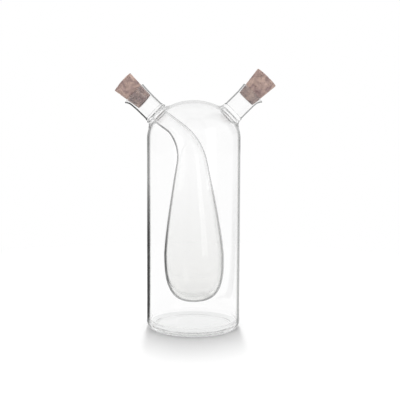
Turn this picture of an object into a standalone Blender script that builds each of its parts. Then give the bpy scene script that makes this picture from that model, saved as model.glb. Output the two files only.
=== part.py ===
"""Oil and vinegar bottle blown from borosilicate glass, with two natural corks.

The outer body holds the oil and carries both necks. A second flask for the vinegar hangs inside it
from the left port: its stem bends out through the dome and ends in a sealing ring under the neck.
Units are metres, +Z is up, and the origin is the centre of the flat base.
"""

import math
from typing import NamedTuple

import bmesh
import bpy
from mathutils import Matrix, Vector

# Outer body
BODY_DIAMETER = 0.0650
BODY_HEIGHT = 0.1594  # base to the crown of the dome
DOME_RISE = 0.0266  # top of the straight wall to the crown
BODY_WALL = 0.0018
BASE_THICKNESS = 0.0030
HEEL_RADIUS = 0.0050  # outside, from the wall into the base
INNER_HEEL_RADIUS = 0.0055  # inside, from the wall into the floor

# Ports, where the necks leave the dome square to its surface
OIL_PORT_LEAN = math.radians(45)  # from upright
VINEGAR_PORT_LEAN = math.radians(46)
SEAL_HEIGHT = 0.0023  # dome surface to the foot of a neck, along the port
SEAL_BEAD = 0.0004  # how far the glass stands out where two tubes are fused
COLLAR_WALL = 0.0015  # round the stem
COLLAR_FILLET = 0.0038
FILLET_SWEEP = math.radians(70)  # of the fillet's arc, from the collar down to the dome

# Necks
NECK_DIAMETER = 0.0155
NECK_WALL = 0.0010
MOUTH_REACH = 0.0217  # dome surface to the mouth, along the port
MOUTH_ROLL = 0.0002  # outward roll of the fire-polished rim
ROLL_LENGTH = 0.0020
LIP_REACH = 0.0016  # pouring lip, pulled out on the lower side
LIP_DEPTH = 0.0040
LIP_SPREAD = math.radians(80)  # from the lip's tip to where it dies out
LIP_CURL = 1.6  # 1 slopes out straight, more turns out nearer the rim
BEAD_LENGTH = 0.0011  # of the thickened foot
BEAD_START = 72  # degrees up the foot's arc, where the tube's side runs into it

# Inner flask
FLASK_DIAMETER = 0.0420
FLASK_WALL = 0.0012
FLASK_FLOOR_CLEARANCE = 0.0158
FLASK_OFFSET = 0.0012  # of its bottom from the body's axis, away from its own port
FLASK_LEAN = math.radians(1.4)  # towards its own port
BULB_LENGTH = 0.0330  # bottom to the widest ring
BULB_FULLNESS = 3.0  # 2 is an ellipse, more is squarer
TAPER_SWELL = 1.27  # how long the taper stays full above the bulb
TAPER_EASE = 1.08  # how gently the taper runs into the stem
STEM_DIAMETER = 0.0112
STEM_LENGTH = 0.0163  # even tube below the top of the sealing ring
STEM_LEAN = math.radians(54)  # of its upper end from upright
STEM_BEND_RADIUS = 0.0370
STEM_FLARE_LENGTH = 0.0030  # where the stem's bore opens to the neck's
SEAL_RING_THICKNESS = 0.0020

# Corks
CORK_LENGTH = 0.0206
CORK_CHAMFER = 0.0004
OIL_CORK_DEPTH = 0.0064  # how far it is pushed in
OIL_CORK_TAPER = math.radians(6.4)  # of its side from its axis
OIL_CORK_TILT = math.radians(-1.0)  # in its neck, positive towards the lip
VINEGAR_CORK_DEPTH = 0.0094
VINEGAR_CORK_TAPER = math.radians(5.8)
VINEGAR_CORK_TILT = math.radians(2.5)

# Fit and facets
FIT_GAP = 0.0003  # between pieces that touch
BODY_SIDES = 48
NECK_SIDES = 32
FLASK_SIDES = 24
DOME_STEPS = 10
HEEL_STEPS = 5
FILLET_STEPS = 5
LIP_STEPS = 5
ROUND_STEPS = 6  # round a rim, a ring's edge or a bead
CHAMFER_STEPS = 2
BULB_STEPS = 9
TAPER_STEPS = 20
STEM_STEPS = 6
FLARE_STEPS = 4
CREASE_ANGLE = math.radians(35)  # an edge that turns further than this stays crisp
WELD_DISTANCE = 0.000002
CUT_MARGIN = 0.0020  # how far a cutter runs past what it cuts
FOOT_SINK = 0.0002  # how deep a collar's foot is buried in the dome
PORT_MARK_SIZE = 0.0100  # of the empty drawn at a port

# Looks, with colours as linear red, green and blue
GLASS_COLOUR = (0.93, 0.95, 0.95)
GLASS_ROUGHNESS = 0.02
GLASS_IOR = 1.47
CORK_COLOUR = (0.30, 0.20, 0.15)
CORK_ROUGHNESS = 0.85

body_radius = BODY_DIAMETER / 2
spring_height = BODY_HEIGHT - DOME_RISE
neck_radius = NECK_DIAMETER / 2
neck_bore_radius = neck_radius - NECK_WALL
stem_radius = STEM_DIAMETER / 2
widest_radius = FLASK_DIAMETER / 2
ring_top = SEAL_HEIGHT - FIT_GAP
ring_bottom = ring_top - SEAL_RING_THICKNESS


class Spout(NamedTuple):
    """A port, its neck and its cork. Heights are along the port, from the dome's surface."""

    liquid: str
    turn: float
    lean: float
    bore_radius: float
    collar_radius: float
    collar_top: float
    cork_depth: float
    cork_taper: float
    cork_tilt: float

    def port_point(self):
        """Where the dome's surface faces this lean from upright, as (radius, height)."""
        across = body_radius * math.sin(self.lean)
        along = DOME_RISE * math.cos(self.lean)
        scale = math.hypot(across, along)
        return body_radius * across / scale, spring_height + DOME_RISE * along / scale

    def dome_drop(self, radius):
        """How far the dome lies below the port's point, at this distance from the port's axis."""
        roundness = self.port_point()[0] / math.sin(self.lean)
        return roundness - math.sqrt(roundness**2 - radius**2)

    def cork_radius(self):
        """At the cork's inner end, which clears the bore although the cork sits at a tilt."""
        return neck_bore_radius - FIT_GAP - self.cork_depth * math.sin(abs(self.cork_tilt))

    def mouth_flare(self):
        """How much the bore widens from the cork's inner end to the mouth, to follow its taper."""
        return self.cork_depth * max(math.tan(self.cork_taper) - math.sin(abs(self.cork_tilt)), 0.0)


OIL = Spout(
    liquid="oil",
    turn=0.0,
    lean=OIL_PORT_LEAN,
    bore_radius=neck_bore_radius,
    collar_radius=neck_radius + SEAL_BEAD,
    collar_top=SEAL_HEIGHT - FIT_GAP,
    cork_depth=OIL_CORK_DEPTH,
    cork_taper=OIL_CORK_TAPER,
    cork_tilt=OIL_CORK_TILT,
)

# The stem leans further than its port, so its bore is wider by what it drifts through the dome.
stem_drift = (SEAL_HEIGHT + 2 * BODY_WALL) * math.tan(abs(STEM_LEAN - VINEGAR_PORT_LEAN))
stem_port_radius = stem_radius + FIT_GAP + stem_drift

VINEGAR = Spout(
    liquid="vinegar",
    turn=math.pi,
    lean=VINEGAR_PORT_LEAN,
    bore_radius=stem_port_radius,
    collar_radius=stem_port_radius + COLLAR_WALL,
    collar_top=ring_bottom - FIT_GAP,
    cork_depth=VINEGAR_CORK_DEPTH,
    cork_taper=VINEGAR_CORK_TAPER,
    cork_tilt=VINEGAR_CORK_TILT,
)


def clear_scene():
    for old in list(bpy.data.objects):
        bpy.data.objects.remove(old, do_unlink=True)


def new_collection(name):
    collection = bpy.data.collections.new(name)
    bpy.context.scene.collection.children.link(collection)
    return collection


def new_material(name, colour, roughness, transmission=0.0):
    material = bpy.data.materials.new(name)
    material.use_nodes = True
    shader = material.node_tree.nodes["Principled BSDF"]
    shader.inputs["Base Color"].default_value = (*colour, 1.0)
    shader.inputs["Roughness"].default_value = roughness
    shader.inputs["Metallic"].default_value = 0.0
    shader.inputs["IOR"].default_value = GLASS_IOR
    shader.inputs["Transmission Weight"].default_value = transmission
    return material


def link(name, data, collection, parent=None):
    obj = bpy.data.objects.new(name, data)
    collection.objects.link(obj)
    obj.parent = parent
    return obj


def as_tool(obj):
    """A shape that only Booleans use shows as a wire and never renders."""
    obj.hide_render = True
    obj.display_type = "WIRE"
    return obj


def smooth(mesh):
    mesh.shade_smooth()
    mesh.set_sharp_from_angle(angle=CREASE_ANGLE)


def turned(name, profile, sides, collection, parent=None, closed=False):
    """Turns (radius, height) points about Z. They run from the top down the outer side."""
    mesh = bpy.data.meshes.new(name)
    edges = [(i, i + 1) for i in range(len(profile) - 1)]
    if closed:
        edges.append((len(profile) - 1, 0))
    mesh.from_pydata([(radius, 0.0, height) for radius, height in profile], edges, [])
    obj = link(name, mesh, collection, parent)
    screw = obj.modifiers.new("turn", "SCREW")
    screw.axis = "Z"
    screw.steps = sides
    screw.render_steps = sides
    screw.use_merge_vertices = True
    screw.merge_threshold = WELD_DISTANCE
    screw.use_smooth_shade = True
    return obj


def boolean(obj, operation, other):
    modifier = obj.modifiers.new(other.name, "BOOLEAN")
    modifier.operation = operation
    modifier.solver = "EXACT"
    modifier.object = other


def weld(obj):
    """Joins the doubled points that a row of Booleans leaves on a seam, so that the solid is closed."""
    modifier = obj.modifiers.new("weld", "WELD")
    modifier.merge_threshold = WELD_DISTANCE


def arc(centre, radii, start, end, steps):
    """Points of an ellipse's arc about its (radius, height) centre, between two angles in degrees."""
    points = []
    for i in range(steps + 1):
        angle = math.radians(start + (end - start) * i / steps)
        points.append((centre[0] + radii[0] * math.cos(angle), centre[1] + radii[1] * math.sin(angle)))
    return points


def vessel_profile(radius, floor, rise, heel):
    """Half section of a domed cylinder, from its crown to the middle of its floor."""
    dome = arc((0.0, spring_height), (radius, rise), 90, 0, DOME_STEPS)
    corner = arc((radius - heel, floor + heel), (heel, heel), 0, -90, HEEL_STEPS)
    return [(0.0, spring_height + rise)] + dome[1:] + corner + [(0.0, floor)]


def new_port(spout, collection):
    """An empty on the dome, with +Z out along the port and +X towards its lower side."""
    radius, height = spout.port_point()
    port = link(spout.liquid + "_port", None, collection)
    port.empty_display_size = PORT_MARK_SIZE
    port.matrix_world = (
        Matrix.Rotation(spout.turn, 4, "Z")
        @ Matrix.Translation((radius, 0.0, height))
        @ Matrix.Rotation(spout.lean, 4, "Y")
    )
    return port


def new_collar(spout, port, tools):
    """The short tube drawn up from the dome, with a fillet at its foot."""
    foot_radius = spout.collar_radius + COLLAR_FILLET * (1 - math.cos(FILLET_SWEEP))
    foot = -spout.dome_drop(foot_radius) - FOOT_SINK
    centre = (spout.collar_radius + COLLAR_FILLET, foot + COLLAR_FILLET * math.sin(FILLET_SWEEP))
    end = 180 + math.degrees(FILLET_SWEEP)
    bend = arc(centre, (COLLAR_FILLET, COLLAR_FILLET), 180, end, FILLET_STEPS)
    top = spout.collar_top
    root = foot - BODY_WALL / 2
    profile = [(0.0, top)]
    if top > centre[1]:
        profile.append((spout.collar_radius, top))
    else:
        profile.append((centre[0] - math.sqrt(COLLAR_FILLET**2 - (centre[1] - top) ** 2), top))
    profile += [point for point in bend if point[1] < top - FOOT_SINK]
    profile += [(bend[-1][0], root), (0.0, root)]
    return as_tool(turned(spout.liquid + "_collar", profile, NECK_SIDES, tools, port))


def new_bore(spout, port, tools):
    top = SEAL_HEIGHT + CUT_MARGIN
    bottom = -BODY_WALL - spout.dome_drop(spout.bore_radius) - CUT_MARGIN
    radius = spout.bore_radius
    profile = [(0.0, top), (radius, top), (radius, bottom), (0.0, bottom)]
    return as_tool(turned(spout.liquid + "_bore", profile, NECK_SIDES, tools, port))


def make_outer_body(ports, parts, tools, glass):
    """Domed cylinder with a flat base, hollow, with a collar and a bore at each port."""
    outside = vessel_profile(body_radius, 0.0, DOME_RISE, HEEL_RADIUS)
    inside = vessel_profile(body_radius - BODY_WALL, BASE_THICKNESS, DOME_RISE - BODY_WALL, INNER_HEEL_RADIUS)
    body = turned("outer_body", outside, BODY_SIDES, parts)
    for spout, port in ports.items():
        boolean(body, "UNION", new_collar(spout, port, tools))
    boolean(body, "DIFFERENCE", as_tool(turned("oil_space", inside, BODY_SIDES, tools)))
    for spout, port in ports.items():
        boolean(body, "DIFFERENCE", new_bore(spout, port, tools))
    weld(body)
    body.data.materials.append(glass)


def solid_mesh(obj):
    """The object's evaluated mesh as a new one, with a curve's caps welded on."""
    bpy.context.view_layer.update()
    evaluated = obj.evaluated_get(bpy.context.evaluated_depsgraph_get())
    mesh = bpy.data.meshes.new_from_object(evaluated)
    cage = bmesh.new()
    cage.from_mesh(mesh)
    bmesh.ops.remove_doubles(cage, verts=cage.verts, dist=WELD_DISTANCE)
    bmesh.ops.recalc_face_normals(cage, faces=cage.faces)
    cage.to_mesh(mesh)
    cage.free()
    return mesh


def flask_route():
    """The flask's centreline, as a function from distance to a point, and its length.

    It rises straight from the bottom, leaning towards its port, bends over and runs straight
    to the top of the sealing ring.
    """
    radius, height = VINEGAR.port_point()
    radius += ring_top * math.sin(VINEGAR_PORT_LEAN)
    height += ring_top * math.cos(VINEGAR_PORT_LEAN)
    bottom = Vector((FLASK_OFFSET, 0.0, BASE_THICKNESS + FLASK_FLOOR_CLEARANCE))
    whole = Vector((-radius, 0.0, height)) - bottom
    rise = Vector((-math.sin(FLASK_LEAN), 0.0, math.cos(FLASK_LEAN)))
    across = Vector((-math.cos(FLASK_LEAN), 0.0, -math.sin(FLASK_LEAN)))
    out = Vector((-math.sin(STEM_LEAN), 0.0, math.cos(STEM_LEAN)))
    bend = STEM_LEAN - FLASK_LEAN
    beyond_corner = whole.dot(across) / math.sin(bend)
    before_corner = whole.dot(rise) - beyond_corner * math.cos(bend)
    trim = STEM_BEND_RADIUS * math.tan(bend / 2)
    first = before_corner - trim
    curved = STEM_BEND_RADIUS * bend

    def point(distance):
        turn = min(max(distance - first, 0.0), curved) / STEM_BEND_RADIUS
        forward = min(distance, first) + STEM_BEND_RADIUS * math.sin(turn)
        sideways = STEM_BEND_RADIUS * (1 - math.cos(turn))
        return bottom + rise * forward + across * sideways + out * max(distance - first - curved, 0.0)

    return point, first + curved + beyond_corner - trim


def flask_rings(length, inset):
    """(distance, radius) of rings from the flask's bottom to the top of its stem, inset by a wall."""
    power = 2 / BULB_FULLNESS
    stem_foot = length - STEM_LENGTH
    stem_top = length - max(STEM_FLARE_LENGTH, SEAL_RING_THICKNESS)
    rings = []
    for i in range(BULB_STEPS + 1):
        angle = math.pi / 2 * i / BULB_STEPS
        distance = inset + (BULB_LENGTH - inset) * (1 - math.cos(angle) ** power)
        rings.append((distance, (widest_radius - inset) * math.sin(angle) ** power))
    for i in range(1, TAPER_STEPS + 1):
        share = i / TAPER_STEPS
        swell = (1 - share**TAPER_SWELL) ** TAPER_EASE
        distance = BULB_LENGTH + (stem_foot - BULB_LENGTH) * share
        rings.append((distance, stem_radius + (widest_radius - stem_radius) * swell - inset))
    for i in range(1, STEM_STEPS + 1):
        rings.append((stem_foot + (stem_top - stem_foot) * i / STEM_STEPS, stem_radius - inset))
    return rings


def flare_rings(length):
    """Rings where the stem's bore opens like a trumpet to the neck's, and runs on past its end."""
    bore = stem_radius - FLASK_WALL
    rings = []
    for i in range(1, FLARE_STEPS + 1):
        share = i / FLARE_STEPS
        opening = 1 - math.cos(math.pi / 2 * share)
        distance = length - STEM_FLARE_LENGTH * (1 - share)
        rings.append((distance, bore + (neck_bore_radius - bore) * opening))
    return rings + [(length + CUT_MARGIN, neck_bore_radius)]


def swept(name, rings, route, collection):
    """A round solid that follows the route, with its radius read from the rings."""
    curve = bpy.data.curves.new(name, "CURVE")
    curve.dimensions = "3D"
    curve.bevel_depth = 1.0
    curve.bevel_resolution = FLASK_SIDES // 2 - 2
    curve.use_fill_caps = True
    spline = curve.splines.new("POLY")
    spline.points.add(len(rings) - 1)
    for point, (distance, radius) in zip(spline.points, rings):
        point.co = (*route(distance), 1.0)
        point.radius = radius
    guide = link(name + "_guide", curve, collection)
    mesh = solid_mesh(guide)
    bpy.data.objects.remove(guide)
    smooth(mesh)
    return link(name, mesh, collection)


def make_inner_flask(port, parts, tools, glass):
    """Drop-shaped flask whose bent stem ends in a round-edged sealing ring, open at the ring."""
    route, length = flask_route()
    outside = flask_rings(length, 0.0) + [(length - SEAL_RING_THICKNESS / 2, stem_radius)]
    flask = swept("inner_flask", outside, route, parts)
    half = SEAL_RING_THICKNESS / 2
    ring_radius = max(VINEGAR.collar_radius, neck_radius) + SEAL_BEAD
    rim = arc((ring_radius - half, ring_top - half), (half, half), 90, -90, ROUND_STEPS)
    profile = [(0.0, ring_top)] + rim + [(0.0, ring_bottom)]
    boolean(flask, "UNION", as_tool(turned("sealing_ring", profile, NECK_SIDES, tools, port)))
    inside = flask_rings(length, FLASK_WALL) + flare_rings(length)
    boolean(flask, "DIFFERENCE", as_tool(swept("vinegar_space", inside, route, tools)))
    weld(flask)
    flask.data.materials.append(glass)


def neck_profile(spout):
    """Closed half section of a neck, down the outside from its round rim and back up the bore."""
    round_rim = NECK_WALL / 2

    def bore(depth):
        cone = max(1 - depth / spout.cork_depth, 0.0)
        roll = max(1 - depth / ROLL_LENGTH, 0.0)
        return neck_bore_radius + spout.mouth_flare() * cone + MOUTH_ROLL * roll**2

    bead_top = MOUTH_REACH - SEAL_HEIGHT - BEAD_LENGTH
    depths = [round_rim + (LIP_DEPTH - round_rim) * i / LIP_STEPS for i in range(LIP_STEPS + 1)]
    depths = sorted(depth for depth in depths + [spout.cork_depth, bead_top] if depth <= bead_top)
    inside = [(bore(depth), MOUTH_REACH - depth) for depth in depths]
    outside = [(radius + NECK_WALL, height) for radius, height in inside]
    foot = arc((neck_radius, SEAL_HEIGHT), (SEAL_BEAD, BEAD_LENGTH), BEAD_START, 0, ROUND_STEPS // 2)
    rim_centre = (bore(round_rim) + round_rim, MOUTH_REACH - round_rim)
    rim = arc(rim_centre, (round_rim, round_rim), 180, 0, ROUND_STEPS)[1:-1]
    return rim + outside + foot + [(neck_bore_radius, SEAL_HEIGHT)] + inside[::-1]


def pull_lip(mesh):
    """Draws the rim out on its +X side into a pouring lip, as a glassblower does while it is soft."""
    for vertex in mesh.vertices:
        rise = (vertex.co.z - MOUTH_REACH + LIP_DEPTH) / LIP_DEPTH
        angle = abs(math.atan2(vertex.co.y, vertex.co.x))
        if rise > 0 and angle < LIP_SPREAD:
            share = (1 + math.cos(math.pi * angle / LIP_SPREAD)) / 2
            vertex.co.x += LIP_REACH * share * rise**LIP_CURL


def make_neck(spout, port, parts, glass):
    """Glass tube with a thickened foot, a bore that opens to the cork's taper, and a pouring lip."""
    name = spout.liquid + "_neck"
    blank = turned(name + "_blank", neck_profile(spout), NECK_SIDES, parts, port, closed=True)
    mesh = solid_mesh(blank)
    bpy.data.objects.remove(blank)
    pull_lip(mesh)
    smooth(mesh)
    mesh.materials.append(glass)
    link(name, mesh, parts, port)


def make_cork(spout, port, parts, material):
    """Tapered cork with broken edges. Its origin is the middle of the mouth, on its own axis."""
    name = spout.liquid + "_cork"
    end_radius = spout.cork_radius()
    mesh = bpy.data.meshes.new(name)
    cage = bmesh.new()
    bmesh.ops.create_cone(
        cage,
        cap_ends=True,
        segments=NECK_SIDES,
        radius1=end_radius,
        radius2=end_radius + CORK_LENGTH * math.tan(spout.cork_taper),
        depth=CORK_LENGTH,
        matrix=Matrix.Translation((0.0, 0.0, CORK_LENGTH / 2 - spout.cork_depth)),
    )
    cage.to_mesh(mesh)
    cage.free()
    smooth(mesh)
    mesh.materials.append(material)
    cork = link(name, mesh, parts, port)
    cork.location = (0.0, 0.0, MOUTH_REACH)
    cork.rotation_euler = (0.0, spout.cork_tilt, 0.0)
    edges = cork.modifiers.new("broken_edges", "BEVEL")
    edges.width = CORK_CHAMFER
    edges.segments = CHAMFER_STEPS
    edges.limit_method = "ANGLE"
    edges.angle_limit = CREASE_ANGLE


def main():
    clear_scene()
    parts = new_collection("oil_and_vinegar_bottle")
    tools = new_collection("cutters")
    glass = new_material("borosilicate_glass", GLASS_COLOUR, GLASS_ROUGHNESS, transmission=1.0)
    cork = new_material("natural_cork", CORK_COLOUR, CORK_ROUGHNESS)
    ports = {spout: new_port(spout, parts) for spout in (OIL, VINEGAR)}
    make_outer_body(ports, parts, tools, glass)
    make_inner_flask(ports[VINEGAR], parts, tools, glass)
    for spout, port in ports.items():
        make_neck(spout, port, parts, glass)
        make_cork(spout, port, parts, cork)


if __name__ == "__main__":
    main()
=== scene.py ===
"""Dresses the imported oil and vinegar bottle: blown borosilicate glass, natural corks and a studio.

Laid out as an add-on and run as a script. Lengths are metres, +Z is up, and the origin is the centre
of the base. The oil neck points towards +X, and the vinegar neck towards -X.
"""

import math

import bmesh
import bpy
from mathutils import Matrix, Vector


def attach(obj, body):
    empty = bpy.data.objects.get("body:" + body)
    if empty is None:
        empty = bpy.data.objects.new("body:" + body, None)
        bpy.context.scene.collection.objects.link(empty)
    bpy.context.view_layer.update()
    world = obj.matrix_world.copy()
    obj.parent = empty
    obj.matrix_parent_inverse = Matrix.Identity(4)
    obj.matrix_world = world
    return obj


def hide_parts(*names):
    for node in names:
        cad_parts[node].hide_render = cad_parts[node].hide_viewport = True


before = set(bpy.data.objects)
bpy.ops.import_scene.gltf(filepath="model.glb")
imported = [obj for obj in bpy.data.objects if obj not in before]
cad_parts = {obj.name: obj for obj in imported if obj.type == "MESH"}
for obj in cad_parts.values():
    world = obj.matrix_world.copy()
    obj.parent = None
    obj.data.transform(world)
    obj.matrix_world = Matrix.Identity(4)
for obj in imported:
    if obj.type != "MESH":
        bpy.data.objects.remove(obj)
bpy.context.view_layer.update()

bl_info = {
    "name": "Oil and Vinegar Bottle",
    "version": (1, 0, 0),
    "blender": (4, 5, 0),
    "location": "View3D > Sidebar > Bottle",
    "description": "Builds the glass, the corks and the studio of a two-in-one table cruet",
    "category": "Add Mesh",
}

# The body that carries all four glass pieces, and the two spouts.
GLASS_BODY = "glass"
SPOUTS = ("oil", "vinegar")

# Sides round each finished surface, and steps along the stretches of its section.
BODY_SIDES = 160
DOME_STEPS = 40
WALL_STEPS = 24
HEEL_STEPS = 14
BASE_STEPS = 6
FLASK_SIDES = 96
BULB_STEPS = 24
TAPER_STEPS = 60
STEM_STEPS = 16
FLARE_STEPS = 10
NECK_SIDES = 96
NECK_STEPS = 40
BEAD_STEPS = 8
RIM_STEPS = 12
FILLET_STEPS = 16
CORK_SIDES = 180
CORK_STEPS = 96
CORK_EDGE_STEPS = 4
CORK_TOP_STEPS = 24
CORK_END_STEPS = 20

# A point doubled by a Boolean is closer to its twin than this.
WELD_DISTANCE = 0.000002
# Where two faces meet more sharply than this, the edge stays crisp.
CREASE_ANGLE = math.radians(32)
# A cutter runs on this far past what it cuts.
CUT_MARGIN = 0.0020
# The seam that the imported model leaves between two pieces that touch.
FIT_GAP = 0.0003

# How far round a collar's fillet goes, and how deep its foot is sunk into the dome.
COLLAR_SWEEP = math.radians(70)
COLLAR_SINK = 0.0002
# A neck's rings crowd towards its rim by this power. The bead at its foot starts this many degrees
# round its curve.
RIM_CROWDING = 1.5
BEAD_START = 72
# The pouring lip is drawn out this far to either side, and curls outwards by this power.
LIP_SPREAD = math.radians(80)
LIP_CURL = 1.6
# The flask's bulb is squarer than an ellipse, whose fullness is 2. Its taper stays full by one power
# before it eases into the stem by the other.
BULB_FULLNESS = 3.0
TAPER_SWELL = 1.27
TAPER_EASE = 1.08

# The painted shade on the glass's edge, a grey for the darker surroundings that the wall bends in, comes
# in over this much to either side of where a line of sight misses the bore, counted as 1 less the cosine
# of its angle to the surface's normal.
EDGE_SOFTNESS = 0.07
# That painted shade is weaker at the dome's crown and along the flask's stem.
CROWN_EDGE_SHADE_SHARE = 0.5
STEM_EDGE_SHADE_SHARE = 0.85
# Height over which the flask's painted shade, greyer towards its bottom, fades out, from its bottom up.
FLASK_SHADE_RISE = 0.095
# The outside is plain heel glass from this share of the heel's radius down.
HEEL_SHARE = 0.6
# How much lamp light a wall of glass keeps back where it faces the lamp, and where it is edge on.
VEIL_FACING = 0.13
VEIL_GRAZING = 0.75
# Drawing leaves faint waves that are long along the tube and short round it.
WAVE_LENGTH = 0.060
WAVE_WIDTH = 0.009
WAVE_HEIGHT = 0.00003

# The bark's hue drifts over the first distance, and its growth lightens and darkens over the second.
BARK_DRIFT = 0.006
BARK_GROWTH = 0.002
# Pores run across the cork's axis.
PORE_LENGTH = 0.003
PORE_HEIGHT = 0.0009
# How far the ground surface stands out between its grains.
CORK_GRAIN = 0.00015
# Each cork comes from its own bit of bark, this far from the last one and this deep.
BARK_SPACING = 0.050
BARK_DEPTH = 0.020
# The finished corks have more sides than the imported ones, and are this much smaller to stay in them.
CORK_TRIM = 0.00001

# The floor is a square that reaches this far each way, a hair below the base.
FLOOR_REACH = 3.0
FLOOR_DROP = 0.0002
# The world's plain light on matt surfaces, and the glow that lifts the floor from 0.9 to white.
FILL_LEVEL = 0.38
FLOOR_GLOW = 0.10
# Where it is seen, the floor turns to even white between these distances from the bottle's axis.
WHITE_START = 0.16
WHITE_END = 0.40
# How much of the floor that glass shows is even white rather than lit floor with its shadow.
EVEN_SHARE = 0.93
# The studio as glass reflects it brightens from this level to full between these heights.
SURROUND_LEVEL = 0.75
SOFTBOX_START = math.radians(8)
SOFTBOX_END = math.radians(24)
# The ceiling that shows through the glass dims by this much between these heights.
CEILING_DARKNESS = 0.5
CEILING_START = math.radians(25)
CEILING_END = math.radians(55)
# The dark flag's bearing from straight behind the bottle, its half width and its soft edge.
FLAG_BEARING = math.radians(-27)
FLAG_HALF_WIDTH = math.radians(14)
FLAG_SOFTNESS = math.radians(8)
# It leaves this share of the light on the floor near the bottle, on the floor far from it and up to
# the horizon, and at its own top.
FLAG_NEAR = 0.3
FLAG_NEAR_SHARE = 0.05
FLAG_FAR = 1.4
FLAG_FAR_SHARE = 0.65
FLAG_TOP = math.radians(12)
FLAG_TOP_SHARE = 0.8
# Light that runs round inside the base and the sealing ring turns back this often before it leaves.
BOUNCES = 100

# Each lamp's name, size and place, and whether glass shows it. The long strip from overhead to behind
# the bottle keeps its shadow narrow and short, the panel in front lights the corks, and glass reflects
# the weak strip at the right as a soft streak.
LAMPS = (
    ("back_strip", (0.16, 2.0), (-0.01, 0.62, 3.0), False),
    ("front_panel", (1.0, 1.0), (-0.3, -1.5, 0.7), False),
    ("side_strip", (0.28, 0.50), (0.42, -0.45, 0.28), True),
)

# The camera's sensor and lens in millimetres, and its shift in shares of the frame's width.
SENSOR_WIDTH = 36.0
LENS = 72.4
SHIFT = (0.0158, -0.05)


def length(name, description, default):
    return bpy.props.FloatProperty(
        name=name, description=description, default=default, min=0.0, unit="LENGTH", precision=4
    )


def angle(name, description, degrees):
    return bpy.props.FloatProperty(
        name=name, description=description, default=math.radians(degrees), subtype="ANGLE"
    )


def power(name, description, default):
    return bpy.props.FloatProperty(
        name=name, description=description, default=default, min=0.0, unit="POWER"
    )


def linear_from_hex(text):
    """(red, green, blue, 1) in linear light from an sRGB colour such as "a1b2c3"."""
    channels = []
    for start in (0, 2, 4):
        share = int(text[start : start + 2], 16) / 255
        channels.append(share / 12.92 if share <= 0.04045 else ((share + 0.055) / 1.055) ** 2.4)
    return (*channels, 1.0)


def colour(name, description, text):
    default = linear_from_hex(text)
    return bpy.props.FloatVectorProperty(
        name=name, description=description, default=default, subtype="COLOR", size=4, min=0.0, max=1.0
    )


class BodySizes(bpy.types.PropertyGroup):
    """Sizes of the outer body and of the two collars on its dome."""

    diameter: length("Diameter", "Outside, across the straight wall", 0.0650)
    height: length("Height", "Base to the crown of the dome", 0.1594)
    dome_rise: length("Dome rise", "Top of the straight wall to the crown", 0.0266)
    wall: length("Wall", "Glass thickness of the wall and the dome", 0.0018)
    base: length("Base", "Glass thickness of the base", 0.0030)
    heel: length("Heel", "Outer radius from the wall into the base", 0.0050)
    inner_heel: length("Inner heel", "Inner radius from the wall into the floor", 0.0055)
    collar_wall: length("Collar wall", "Glass thickness round the stem", 0.0015)
    collar_fillet: length("Collar fillet", "Radius from a collar into the dome", 0.0038)


class NeckSizes(bpy.types.PropertyGroup):
    """Sizes of the two necks and the leans of their ports."""

    oil_lean: angle("Oil lean", "Oil port from upright", 45.0)
    vinegar_lean: angle("Vinegar lean", "Vinegar port from upright", 46.0)
    diameter: length("Diameter", "Outside", 0.0155)
    wall: length("Wall", "Glass thickness", 0.0010)
    seal_height: length("Seal height", "Dome to the foot of a neck, along the port", 0.0023)
    seal_bead: length("Seal bead", "How far a fused seam stands out", 0.0004)
    bead_length: length("Bead length", "Of the thickened foot", 0.0011)
    reach: length("Reach", "Dome to the mouth, along the port", 0.0217)
    roll: length("Rim roll", "How far the fire-polished rim rolls out", 0.0002)
    roll_length: length("Roll length", "Depth of the rolled part", 0.0020)
    lip_reach: length("Lip reach", "How far the pouring lip is drawn out", 0.0016)
    lip_depth: length("Lip depth", "Depth of the drawn part", 0.0040)


class FlaskSizes(bpy.types.PropertyGroup):
    """Sizes of the vinegar flask inside the body."""

    diameter: length("Diameter", "Outside, at the widest ring", 0.0420)
    wall: length("Wall", "Glass thickness", 0.0012)
    bottom: length("Bottom", "Glass thickness at the bottom, where the tube was drawn off", 0.0036)
    clearance: length("Clearance", "Floor of the body to the flask's bottom", 0.0158)
    offset: length("Offset", "Of the bottom from the body's axis, away from the port", 0.0012)
    lean: angle("Lean", "Towards the vinegar port", 1.4)
    bulb_length: length("Bulb length", "Bottom to the widest ring", 0.0330)
    stem_diameter: length("Stem diameter", "Outside", 0.0112)
    stem_length: length("Stem length", "Even tube below the sealing ring's top", 0.0163)
    stem_lean: angle("Stem lean", "Upper end of the stem from upright", 54.0)
    bend_radius: length("Bend radius", "Of the stem's centreline", 0.0370)
    flare_length: length("Flare length", "Where the stem's bore opens to the neck's", 0.0030)
    ring_thickness: length("Ring thickness", "Of the sealing ring", 0.0020)


class CorkSizes(bpy.types.PropertyGroup):
    """Sizes of the corks and how each one sits in its neck."""

    length: length("Length", "End to end", 0.0206)
    chamfer: length("Broken edge", "Radius worn on each end's edge", 0.0004)
    oil_depth: length("Oil depth", "How far the oil cork is pushed in", 0.0064)
    oil_taper: angle("Oil taper", "Side of the oil cork from its axis", 6.4)
    oil_tilt: angle("Oil tilt", "Of the oil cork in its neck, positive towards the lip", -1.0)
    vinegar_depth: length("Vinegar depth", "How far the vinegar cork is pushed in", 0.0094)
    vinegar_taper: angle("Vinegar taper", "Side of the vinegar cork from its axis", 5.8)
    vinegar_tilt: angle("Vinegar tilt", "Of the vinegar cork, positive towards the lip", 2.5)
    pit_depth: length("Pit depth", "Deepest pore in a cork's side", 0.00035)


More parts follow.
